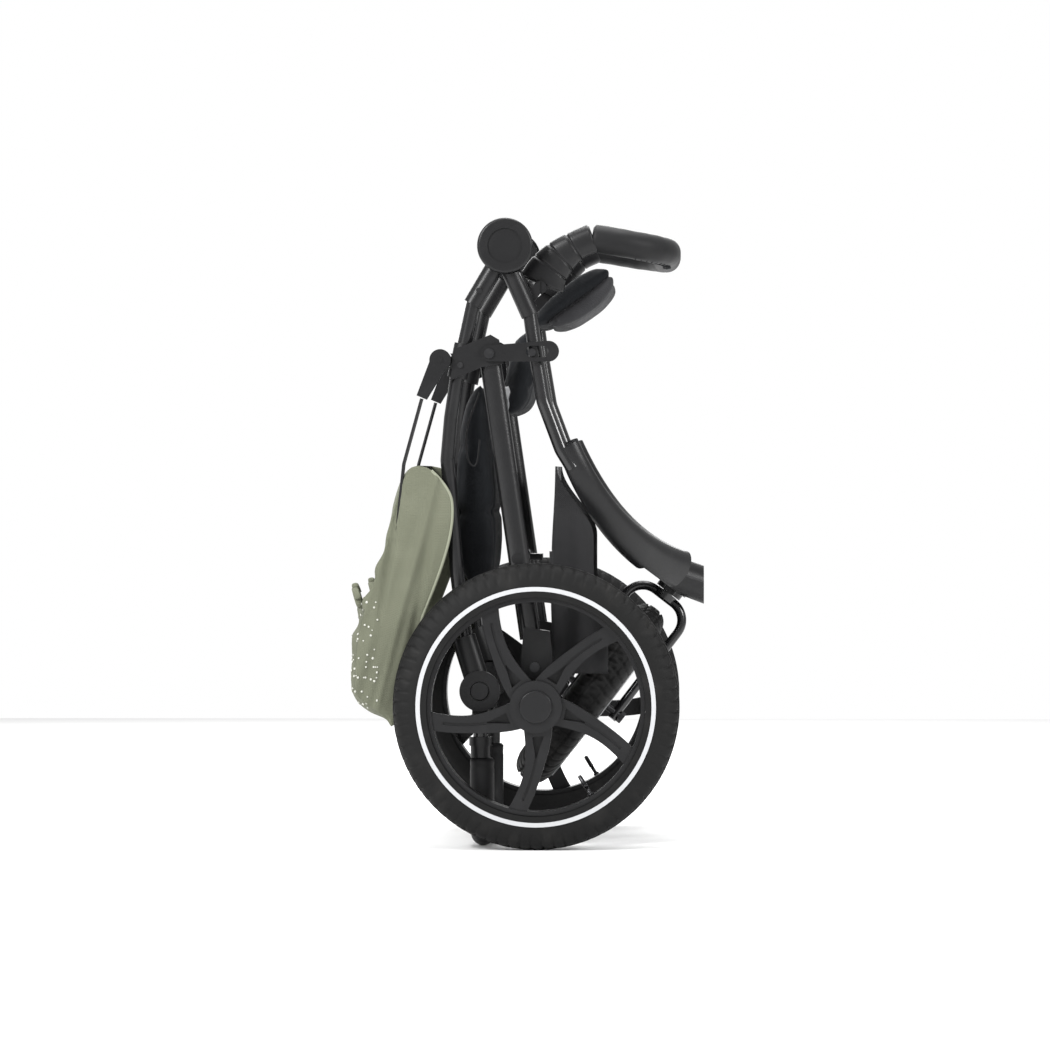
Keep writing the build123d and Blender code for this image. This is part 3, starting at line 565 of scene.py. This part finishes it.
def bundle(low, high, rows=150, columns=420):
    """For each height v, the ring runs along one flap, round the back and along the other flap, then
    returns inside. x_back(v) bulges backwards below the middle, and x_flap(v) is the free edge beside the
    tube. Both ends shrink to a seam: swell = sqrt(1 - |2v - 1|^9)."""
    v = np.linspace(0, 1, rows)
    swell = np.sqrt(np.clip(1 - abs(2 * v - 1) ** 9, 0, 1))
    z = high[2] - (high[2] - low[2]) * v
    x_back = low[0] + (high[0] - low[0]) * (0.445 - 0.445 * smooth_step(v, 0.0, 0.78)
                                            + 0.33 * smooth_step(v, 0.86, 1.0))
    x_flap = high[0] - (high[0] - low[0]) * (0.10 * (1 - smooth_step(v, 0.0, 0.14))
                                             + 0.42 * smooth_step(v, 0.16, 0.86) + 0.1 * v ** 3)
    x_in = np.minimum(x_flap - 0.004, low[0] + (high[0] - low[0]) * 0.50)
    y = high[1]
    wall = 0.0075
    zero = np.zeros(rows)
    corners = [(x_flap, zero - y), ((x_flap + x_back) / 2, zero - y), (x_back + 0.004, zero - y * 0.985),
               (x_back - 0.002, zero - y * 0.72), (x_back - 0.004, zero), (x_back - 0.002, zero + y * 0.72),
               (x_back + 0.004, zero + y * 0.985), ((x_flap + x_back) / 2, zero + y), (x_flap, zero + y),
               (x_flap, zero + y - wall), (x_in, zero + y - wall), (x_in, zero),
               (x_in, zero - y + wall), (x_flap, zero - y + wall)]
    ring = np.stack([np.stack(c, -1) for c in corners], 1)
    closed = np.concatenate([ring, ring[:, :1]], 1)
    steps = np.linalg.norm(np.diff(closed.mean(0), axis=0), axis=1)
    run = np.concatenate([[0], np.cumsum(steps)])
    at = np.linspace(0, run[-1], columns, endpoint=False)
    k = np.clip(np.searchsorted(run, at, side="right") - 1, 0, len(steps) - 1)
    f = (at - run[k]) / steps[k]
    grid = closed[:, k] * (1 - f)[None, :, None] + closed[:, k + 1] * f[None, :, None]
    kernel = np.exp(-np.linspace(-2, 2, 9) ** 2)
    kernel /= kernel.sum()
    grid = sum(np.roll(grid, n - 4, axis=1) * w for n, w in enumerate(kernel))
    mid = (x_flap * 0.45 + x_back * 0.55)[:, None]
    x = mid + (grid[..., 0] - mid) * swell[:, None]
    return np.stack([x, grid[..., 1], np.broadcast_to(z[:, None], x.shape)], -1)


low_r, high_r = (np.array(p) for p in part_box("canopy_rear"))
low_f, high_f = (np.array(p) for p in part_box("canopy_front"))
low, high = np.minimum(low_r, low_f), np.maximum(high_r, high_f)
high[1] = high_r[1] - 0.002
grid = bundle(low, high)
X, Y, Z = grid[..., 0], grid[..., 1], grid[..., 2]
span = high[0] - low[0]
height = high[2] - low[2]
down = (high[2] - Z) / height
flank = smooth_step(abs(Y), high[1] * 0.9, high[1] * 0.985) * (abs(Y) > high[1] - 0.004)
rear = smooth_step(-X, -(low[0] + span * 0.40), -(low[0] + span * 0.22)) * (1 - flank)
bow_x = high[0] - span * (0.13 + 0.655 * down)
ridge = np.exp(-((X - bow_x) / 0.0055) ** 2)
crease_x = low[0] + span * (0.50 - 0.36 * down)
crease = (np.exp(-((X - crease_x) / 0.0042) ** 2) * smooth_step(down, 0.03, 0.12)
          * (1 - smooth_step(down, 0.5, 0.66)))
second_x = high[0] - span * (0.02 + 0.45 * down)
fold2 = np.exp(-((X - second_x + 0.012) / 0.006) ** 2) * smooth_step(down, 0.25, 0.4)
ripple = 0.0016 * np.sin((X - bow_x) * 260 + 6 * down) * smooth_step(down, 0.1, 0.4)
puff = flank * (0.0022 + 0.0040 * ridge - 0.006 * crease - 0.0045 * fold2 + 0.6 * ripple)
Y2 = Y + np.sign(Y) * puff
wave = (0.010 * np.sin(Y * 33 + 1.1) * np.sin(down * 5.0 + 0.6) + 0.006 * np.sin(Y * 71 + down * 7)
        + 0.004 * np.sin(down * 46 + 0.8 * np.sin(Y * 12)))
gather = np.exp(-((down - 0.52) / 0.09) ** 2) * np.exp(-((abs(Y) - high[1] * 0.86) / 0.05) ** 2)
X2 = np.maximum(X + rear * (0.012 + wave - 0.012 * gather + 0.006 * np.cos(Y * 9)), low[0] + 0.0005)
Z2 = Z - rear * 0.004 * np.sin(Y * 27 + 0.5)
skin = np.stack([X2, Y2, Z2], -1)
canopy = surface("canopy_bundle", skin, wrap_columns=True, cap=True)


def on_canopy(piece, material, slot, *replaced):
    """Fabric that is fixed to the push frame at its flaps and to the bow at its back; here it only gets its finish
    and a baked transform, on no body, and hides the nodes that it stands for.
    """
    piece.data.materials.append(material)
    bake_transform(piece)
    if replaced:
        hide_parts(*replaced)
    print(piece.name, len(piece.data.polygons), "faces, blended")


on_canopy(canopy, looks["canopy_fabric"], "canopy_fabric", "canopy_rear", "canopy_front")

# %% Piping along the free edges, and the second seam
for word, side in (("right", -1), ("left", 1)):
    rows = np.arange(3, 118, 3)
    columns = np.argmax(np.where(Y2 * side > high[1] - 0.006, X2, -9), axis=1)
    line = skin[rows, columns[rows]] + np.array([-0.001, side * 0.0008, 0.0])
    piping = surface(f"canopy_piping_{word}", carry(spread(line, 140), 0.0022, 0.0022, (0, 1, 0), 10),
                     wrap_columns=True, cap=True)
    on_canopy(piping, looks["canopy_trim"], "canopy_fabric")
    inside = np.arange(10, 140, 3)
    seam = np.stack([bow_x[inside, 0] + 0.0065, np.full(len(inside), side * (high[1] + 0.0012)),
                     Z2[inside, 0]], -1)
    keep = seam[:, 0] > low[0] + 0.03
    top_stitch = stitches(f"canopy_stitching_{word}", seam[keep], (0.0, float(side), 0.0),
                          pitch=0.0035, length=0.0001, radius=0.0005)
    on_canopy(top_stitch, looks["canopy_trim"], "canopy_fabric")

# %% [markdown]
# Small silver dots are scattered on the lower back corner, denser towards the hem. Each is a flat
# eight-sided disc laid just proud of the cloth. A printed pattern would be lighter to compute, but real
# discs stay sharp close up.

# %% Silver dots and the gathering toggle
points, faces = [], []
normal_grid = np.cross(np.gradient(skin, axis=1), np.gradient(skin, axis=0))
normal_grid /= np.linalg.norm(normal_grid, axis=2, keepdims=True) + 1e-12
body_mid = np.array([(low[0] + high[0]) / 2, 0, (low[2] + high[2]) / 2])
octagon = np.linspace(0, 2 * np.pi, 8, endpoint=False)
DOT_TRIES, DOT_LIMIT = 3600, 620
FIRST_ROW, LAST_ROW = 70, 138
count = 0
for _ in range(DOT_TRIES):
    r, c = rng.integers(FIRST_ROW, LAST_ROW), rng.integers(0, grid.shape[1])
    p = skin[r, c]
    near_back = (p[0] - low[0]) / span
    if near_back > 0.24 + 0.05 * rng.random() or abs(p[1]) > high[1] + 0.02:
        continue
    if rng.random() > 0.2 + 0.5 * (r - FIRST_ROW) / (LAST_ROW - FIRST_ROW) or count > DOT_LIMIT:
        continue
    n = normal_grid[r, c]
    n = n * (1 if np.dot(n, [p[0] - body_mid[0], p[1] * 0.3, 0]) > 0 else -1)
    one = np.cross(n, (0, 0, 1.0))
    one /= np.linalg.norm(one) + 1e-9
    two = np.cross(n, one)
    size = rng.uniform(0.0009, 0.0019)
    ring = p + n * 0.0009 + size * (np.cos(octagon)[:, None] * one + np.sin(octagon)[:, None] * two)
    points.append(np.concatenate([ring, ring - n * 0.0006]))
    base = 16 * count
    faces += [[base + k for k in range(8)], [base + 8 + k for k in range(8)]]
    faces += [[base + k, base + (k + 1) % 8, base + 8 + (k + 1) % 8, base + 8 + k] for k in range(8)]
    count += 1
dots = mesh_from("canopy_dots", np.concatenate(points), faces)
on_canopy(dots, looks["silver_dots"], "canopy_fabric")

knot_z = high[2] - height * 0.50
for word, side in (("right", -1), ("left", 1)):
    row = int(0.50 * (grid.shape[0] - 1))
    spot = np.array([X2[row].min() + 0.006, side * high[1] * 0.90, knot_z])
    turns = np.linspace(0, 3.1 * np.pi, 60)
    loop = spot + np.stack([-0.006 - 0.004 * np.sin(turns), 0.015 * np.cos(turns * 0.65) * np.cos(turns),
                            0.012 * np.sin(turns) + 0.004 * np.cos(turns * 0.5)], -1)
    knot = surface(f"canopy_tie_{word}", carry(loop, 0.0046, 0.0030, (1, 0, 0.2), 14, 2.4),
                   wrap_columns=True, cap=True)
    on_canopy(knot, looks["canopy_fabric"], "canopy_fabric")

# %% [markdown]
# ## Seat
# The back, the pan and the leg rest are padded cloth. Each starts as a pad carried along its line in the
# side view, a little smaller than its room, and a short cloth simulation fills it out and wrinkles it.

# %% Seat pads
def puff_up(piece, voxel, pressure, cap_move, seed):
    """Remesh, blow up with Blender's Cloth without gravity, keep every point within cap_move of its
    start, and add one subdivision."""
    bpy.context.view_layer.objects.active = piece
    shape = piece.modifiers.new("remesh", "REMESH")
    shape.mode = "VOXEL"
    shape.voxel_size = voxel
    bpy.ops.object.modifier_apply(modifier="remesh")
    start = np.empty(len(piece.data.vertices) * 3)
    piece.data.vertices.foreach_get("co", start)
    rumple = start.reshape(-1, 3).copy()
    rumple[:, 0] += 0.0012 * np.sin(start.reshape(-1, 3)[:, 1] * 95 + seed) * np.sin(rumple[:, 2] * 60 + seed)
    piece.data.vertices.foreach_set("co", rumple.ravel())
    cloth = piece.modifiers.new("cloth", "CLOTH")
    cloth.settings.quality = 5
    cloth.settings.mass = 0.3
    cloth.settings.use_pressure = True
    cloth.settings.uniform_pressure_force = pressure
    cloth.settings.effector_weights.gravity = 0.0
    cloth.settings.tension_stiffness = 12
    cloth.settings.compression_stiffness = 8
    cloth.settings.bending_stiffness = 0.3
    scene = bpy.context.scene
    for step in range(1, 21):
        scene.frame_set(step)
    shown = piece.evaluated_get(bpy.context.evaluated_depsgraph_get())
    moved = np.empty(len(shown.data.vertices) * 3)
    shown.data.vertices.foreach_get("co", moved)
    piece.modifiers.remove(cloth)
    move = (moved - start).reshape(-1, 3)
    far = np.linalg.norm(move, axis=1, keepdims=True)
    move *= np.minimum(1, cap_move / np.maximum(far, 1e-9))
    piece.data.vertices.foreach_set("co", (start.reshape(-1, 3) + move).ravel())
    piece.data.update()
    scene.frame_set(1)
    fine = piece.modifiers.new("fine", "SUBSURF")
    fine.levels = fine.render_levels = 1
    piece.data.shade_smooth()


def pad(name, spine, thick, half, channels, rows=90, columns=110):
    """A pad swept over Y: at each place along the spine its half thickness is thick, less at the sewn
    channels, and it thins to a seam at both sides with a crowned curve."""
    way = spread(spine, rows)
    ahead = np.gradient(way, axis=0)
    ahead /= np.linalg.norm(ahead, axis=1, keepdims=True)
    over = np.cross(ahead, (0, 1.0, 0))
    t = np.linspace(0, 1, rows)
    w = np.linspace(-1, 1, columns)
    t2, w2 = np.meshgrid(t, w, indexing="ij")
    crown = (1 - abs(w2) ** 16) ** 0.5 * (1 - abs(2 * t2 - 1) ** 8) ** 0.5
    sewn = sum(np.exp(-((t2 - c) / 0.012) ** 2) for c in channels) * 0.45 if channels else 0
    sewn = sewn + 0.35 * np.exp(-((abs(w2) - 0.82) / 0.02) ** 2)
    depth = np.broadcast_to(np.interp(t, np.linspace(0, 1, len(thick)), thick)[:, None], t2.shape)
    lift = depth * np.maximum(crown * (1 - sewn), 0.02)
    pull = 1 - 0.02 * (1 - (2 * t2 - 1) ** 2)
    base = way[:, None] + np.array([0, 1.0, 0]) * (w2 * half * pull)[..., None]
    front = base + over[:, None] * lift[..., None]
    back = base - over[:, None] * lift[..., None]
    ring = np.concatenate([front, back[:, ::-1]], 1)
    return surface(name, ring, wrap_columns=True, cap=True)


def spot_in(node, across, up):
    """A point of the side view inside a node's box: across and up run from 0 to 1."""
    a, b = (np.array(p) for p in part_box(node))
    return [a[0] + (b[0] - a[0]) * across, 0.0, a[2] + (b[2] - a[2]) * up]


low, high = (np.array(p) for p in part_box("seat_back"))
PAD_VOXEL, PAD_PRESSURE = 0.0055, 4.0
back_pad = pad("seat_back_pad", [spot_in("seat_back", 0.66, 0.985), spot_in("seat_back", 0.50, 0.85),
                                 spot_in("seat_back", 0.46, 0.55), spot_in("seat_back", 0.48, 0.25),
                                 spot_in("seat_back", 0.56, 0.02)],
               [0.008, 0.017, 0.022, 0.022, 0.016], high[1] - 0.004, (0.3, 0.62))
puff_up(back_pad, PAD_VOXEL, PAD_PRESSURE, 0.006, 1.0)
dress(back_pad, "push_frame", looks["seat_fabric"], "seat_fabric", "seat_back")

low, high = (np.array(p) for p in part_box("seat_pan"))
pan = pad("seat_pan_pad", [spot_in("seat_pan", 0.14, 0.42), spot_in("seat_pan", 0.28, 0.20),
                           spot_in("seat_pan", 0.52, 0.10), spot_in("seat_pan", 0.70, 0.38),
                           spot_in("seat_pan", 0.76, 0.70), spot_in("seat_pan", 0.86, 0.90)],
          [0.006, 0.012, 0.016, 0.016, 0.012, 0.006], high[1] - 0.006, (0.5,))
puff_up(pan, PAD_VOXEL, PAD_PRESSURE, 0.005, 2.0)
dress(pan, "push_frame", looks["seat_fabric"], "seat_fabric", "seat_pan")

low, high = (np.array(p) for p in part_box("leg_rest"))
rest = pad("leg_rest_pad", [spot_in("leg_rest", 0.06, 0.16), spot_in("leg_rest", 0.32, 0.42),
                            spot_in("leg_rest", 0.62, 0.70), spot_in("leg_rest", 0.99, 0.99)],
           [0.006, 0.011, 0.013, 0.009], high[1] - 0.006, ())
puff_up(rest, PAD_VOXEL, PAD_PRESSURE, 0.005, 3.0)
dress(rest, "push_frame", looks["seat_fabric"], "seat_fabric", "leg_rest")
# A second, grey pad just below and in front of the leg rest paints the sheen on its lit lower side.
sheen_pad = pad("leg_rest_painted_sheen", [spot_in("leg_rest", 0.22, 0.16), spot_in("leg_rest", 0.48, 0.34),
                                 spot_in("leg_rest", 0.76, 0.58), spot_in("leg_rest", 1.02, 0.89)],
             [0.006, 0.012, 0.013, 0.009], high[1] - 0.008, ())
puff_up(sheen_pad, PAD_VOXEL, PAD_PRESSURE, 0.004, 4.0)
dress(sheen_pad, "push_frame", looks["pad_fabric"], "seat_fabric")

# %% Light strip on the pan's edge, and the hanging strap loop
a, b = (np.array(p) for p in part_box("seat_pan"))
strip_line = [[b[0] - 0.046, -b[1] + 0.020, a[2] + 0.046], [b[0] - 0.040, -b[1] + 0.016, a[2] + 0.030],
              [b[0] - 0.044, -b[1] + 0.018, a[2] + 0.012]]
strip = surface("pan_label_strip", carry(spread(strip_line, 24), 0.006, 0.0009, (0, 0.4, 1), 16, 4.0),
                wrap_columns=True, cap=True)
dress(strip, "push_frame", looks["reflector"], "seat_fabric")
c, d = (np.array(p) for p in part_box("seat_back"))
loop_line = [[c[0] + 0.030, -d[1] - 0.003, d[2] - 0.020], [c[0] + 0.010, -d[1] - 0.0035, d[2] - 0.070],
             [c[0] + 0.012, -d[1] - 0.0035, d[2] - 0.115], [c[0] + 0.026, -d[1] - 0.0035, d[2] - 0.126],
             [c[0] + 0.030, -d[1] - 0.0035, d[2] - 0.085]]
loop = surface("seat_strap_loop", carry(spread(loop_line, 90), 0.0022, 0.0012, (0, 1, 0), 12, 3.0),
               wrap_columns=True, cap=True)
dress(loop, "push_frame", looks["grip_foam"], "seat_fabric")


# %% [markdown]
# ## Basket
# The folded basket is a mesh bag with two side panels and a back. One grid runs down one side, round the
# back and up the other, with soft folds, and it is cut into three sheets at the back's two edges. The mesh
# itself is a pattern of holes in the material.

# %% Basket
NET_PITCH = 2400.0


def mesh_cloth():
    """Black net: alpha is 0 in small holes at an even pitch, read from object coordinates."""
    made = finish("basket_net", (0.014, 0.014, 0.015), (0.03, 0.03, 0.03), 0.8, bump=0.4, distance=0.0004,
                  effect=weave, scale=2200.0, spec=0.3, sheen=0.2)
    tree = made.node_tree
    place = tree.nodes.new("ShaderNodeTexCoord").outputs["Object"]
    parts = tree.nodes.new("ShaderNodeSeparateXYZ")
    tree.links.new(place, parts.inputs[0])
    run = math_node(tree, "ADD", parts.outputs["X"], parts.outputs["Y"])
    one = math_node(tree, "SINE", math_node(tree, "MULTIPLY", run, NET_PITCH))
    two = math_node(tree, "SINE", math_node(tree, "MULTIPLY", parts.outputs["Z"], NET_PITCH))
    hole = math_node(tree, "GREATER_THAN", math_node(tree, "MULTIPLY", one, two), 0.55)
    tree.links.new(math_node(tree, "SUBTRACT", 1.0, hole), tree.nodes["Principled BSDF"].inputs["Alpha"])
    return made


low, high = (np.array(p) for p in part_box("basket"))
ROWS, COLUMNS = 90, 260
v = np.linspace(0, 1, ROWS)
z = high[2] - (high[2] - low[2]) * v
wide = high[0] - low[0]
x_front = low[0] + wide * (0.14 + 0.60 * smooth_step(v, 0.0, 0.34) + 0.24 * smooth_step(v, 0.5, 0.72))
x_rear = low[0] + wide * (0.12 - 0.06 * v)
y_side = high[1] - 0.005
u = np.linspace(0, 1, COLUMNS)
side_part = 0.22
s = np.clip(np.minimum(u, 1 - u) / side_part, 0, 1)
x = x_front[:, None] * (1 - s)[None] + x_rear[:, None] * s[None]
middle_part = np.clip((u - side_part) / (1 - 2 * side_part), 0, 1)
y = -y_side * np.cos(np.pi * smooth_step(middle_part, 0, 1))
y = np.clip(y * 1.06, -y_side, y_side)[None] * np.ones((ROWS, 1))
z2 = z[:, None] * np.ones((1, COLUMNS))
back_low = high[2] - 0.118
z2 = np.where((s >= 1)[None], np.maximum(z2, back_low), z2)
fold = 0.0035 * np.sin(x * 160 + y * 40) * smooth_step(v, 0.05, 0.4)[:, None]
y = y + np.where(s < 1, 1.0, 0.0)[None] * fold * 0.8
x = x + np.where(s >= 1, 1.0, 0.0)[None] * fold
grid_b = np.stack([x, y, z2], -1)
cut = int(COLUMNS * side_part)
right = surface("basket_side_right", grid_b[:, :cut + 1])
left = surface("basket_side_left", grid_b[:, -cut - 1:])
rear_rows = np.where(z > back_low)[0]
rear_sheet = surface("basket_rear", grid_b[rear_rows][:, cut:COLUMNS - cut])
net = mesh_cloth()


NET_THICK = 0.0012
for piece in (right, left, rear_sheet):
    solid = piece.modifiers.new("cloth_thickness", "SOLIDIFY")
    solid.thickness = NET_THICK
    solid.offset = 0
    dress(piece, "front_frame", net, "mesh_fabric", *(("basket",) if piece is right else ()))

# %% [markdown]
# ## Handle grip
# The foam grip is a tube carried along the handle's U, with a shallow ring near each end and its ends
# drawn in a little.

# %% Handle grip
low, high = (np.array(p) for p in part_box("handle_grip"))
R = 0.0168
y_arm = high[1] - R
z_bar = low[2] + R + 0.0002
x_bar = high[0] - R - 0.0002
corner = 0.045
turn = np.linspace(0, np.pi / 2, 12)
down_z = np.linspace(high[2], z_bar + corner, 14)[:-1]
half = np.concatenate([np.stack([np.full(13, x_bar), np.full(13, y_arm), down_z], -1),
                       np.stack([np.full(12, x_bar), y_arm - corner * (1 - np.cos(turn)),
                                 z_bar + corner * (1 - np.sin(turn))], -1)])
other = half[::-1] * np.array([1, -1, 1])
path = spread(np.concatenate([half, other]), 200)
t = np.linspace(0, 1, 200)
size = R - 0.0006 * np.exp(-((np.minimum(t, 1 - t) - 0.02) / 0.004) ** 2)
size = size * np.clip(np.minimum(t, 1 - t) / 0.004, 0.85, 1)
foam = surface("handle_foam", carry(path, size, size, (1.0, 0, 0), 36), wrap_columns=True, cap=True)
dress(foam, "handle", looks["grip_foam"], "grip_foam", "handle_grip")
